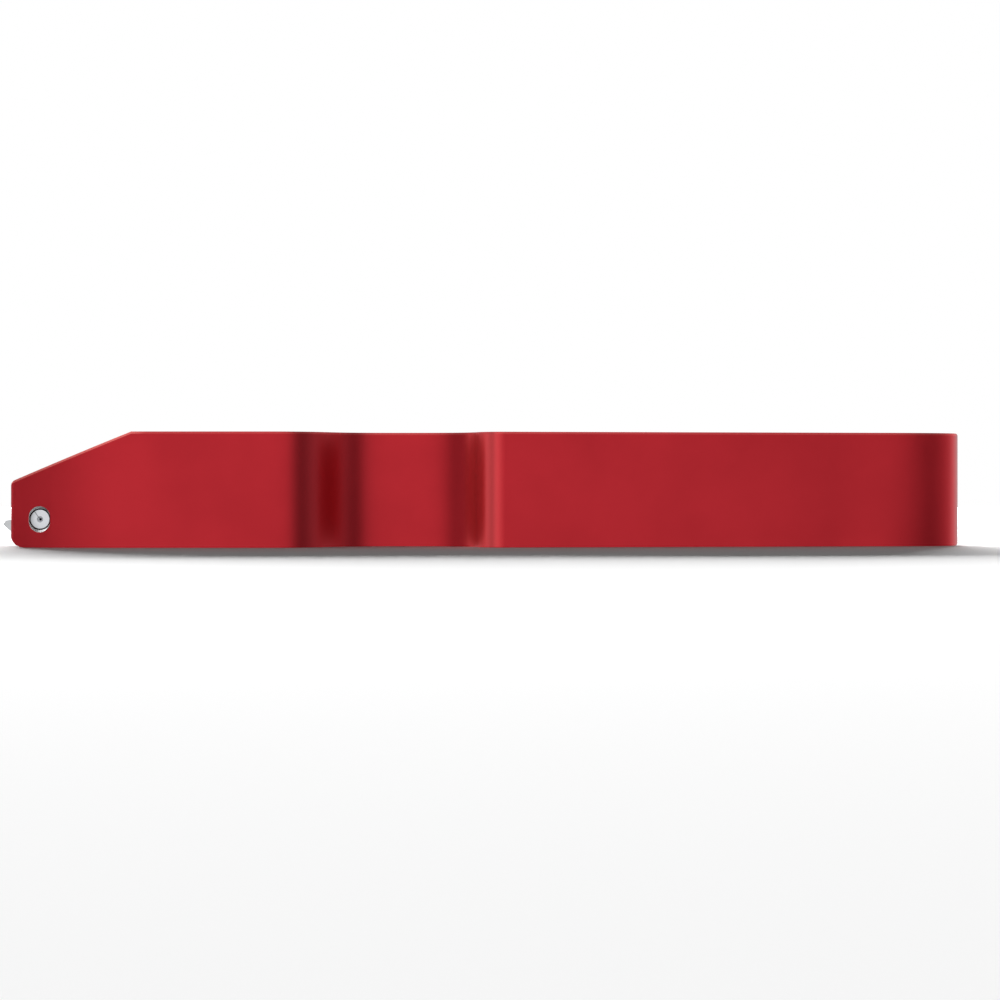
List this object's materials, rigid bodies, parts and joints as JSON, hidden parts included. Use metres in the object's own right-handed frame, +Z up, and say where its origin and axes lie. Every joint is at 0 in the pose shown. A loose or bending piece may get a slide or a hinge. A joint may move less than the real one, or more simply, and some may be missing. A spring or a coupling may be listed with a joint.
{
  "type": "ski edge tuning tool",
  "caption": "Slim milled handle with finger notches, a pinned carbide cutter in its forked nose, a depth knob and a sliding guide plate.",
  "frame": {"origin": "on the handle's flat bottom face, in its plane of symmetry and midway between the nose and the grip end", "axes": "+X from the nose to the grip end, +Y to the right side for a hand that points the nose ahead, +Z up out of the top face"},
  "size_m": [0.1987, 0.045, 0.0232],
  "materials": {
    "red_anodised": "fine satin anodised, deep red",
    "spring_steel": "ground bright",
    "tool_steel": "dark oxide",
    "carbide": "fine ground, light grey",
    "zinc_steel": "clear zinc",
    "stainless": "fine brushed",
    "black_anodised": "satin anodised, black",
    "bronze": "turned",
    "nylon": "matt"
  },
  "bodies": {
    "handle": {"handle_body": "red_anodised", "nose_pin": "spring_steel", "holder_spring": "spring_steel", "knob_bush": "bronze", "knob_washer": "stainless", "detent_ball": "spring_steel", "detent_spring": "spring_steel", "detent_screw": "zinc_steel", "guide_screw_left": "zinc_steel", "guide_screw_right": "zinc_steel", "lock_bush": "bronze"},
    "knob": {"depth_knob": "black_anodised", "knob_clip": "spring_steel"},
    "plunger": {"depth_plunger": "stainless"},
    "cutter": {"cutter_holder": "tool_steel", "cutter_insert": "carbide", "cutter_screw": "zinc_steel"},
    "guide": {"guide_plate": "stainless"},
    "lock": {"lock_screw": "black_anodised", "lock_washer": "stainless", "lock_pad": "nylon"}
  },
  "joints": [
    {"name": "depth_knob_turn", "type": "hinge", "parent": "handle", "child": "knob", "pos_m": [-0.0789, 0, 0.01645], "axis": [0, 0, 1], "range_deg": [-360, 360]},
    {"name": "plunger_slide", "type": "slide", "parent": "handle", "child": "plunger", "axis": [0, 0, -1], "range_m": [-0.0007, 0.0007]},
    {"name": "cutter_tilt", "type": "hinge", "parent": "handle", "child": "cutter", "pos_m": [-0.0908, 0, 0.00565], "axis": [0, 1, 0], "range_deg": [-3.38, 3.38], "deforming": ["holder_spring"]},
    {"name": "guide_slide", "type": "slide", "parent": "handle", "child": "guide", "axis": [-1, 0, 0], "range_m": [0, 0.01]},
    {"name": "lock_turn", "type": "hinge", "parent": "handle", "child": "lock", "pos_m": [-0.059, 0, 0.019], "axis": [0, 0, 1], "range_deg": [0, 180]}
  ],
  "couplings": [
    {"joint": "plunger_slide", "follows": "depth_knob_turn", "m_per_rad": 0.0001114},
    {"joint": "cutter_tilt", "follows": "depth_knob_turn", "ratio": 0.009362}
  ]
}
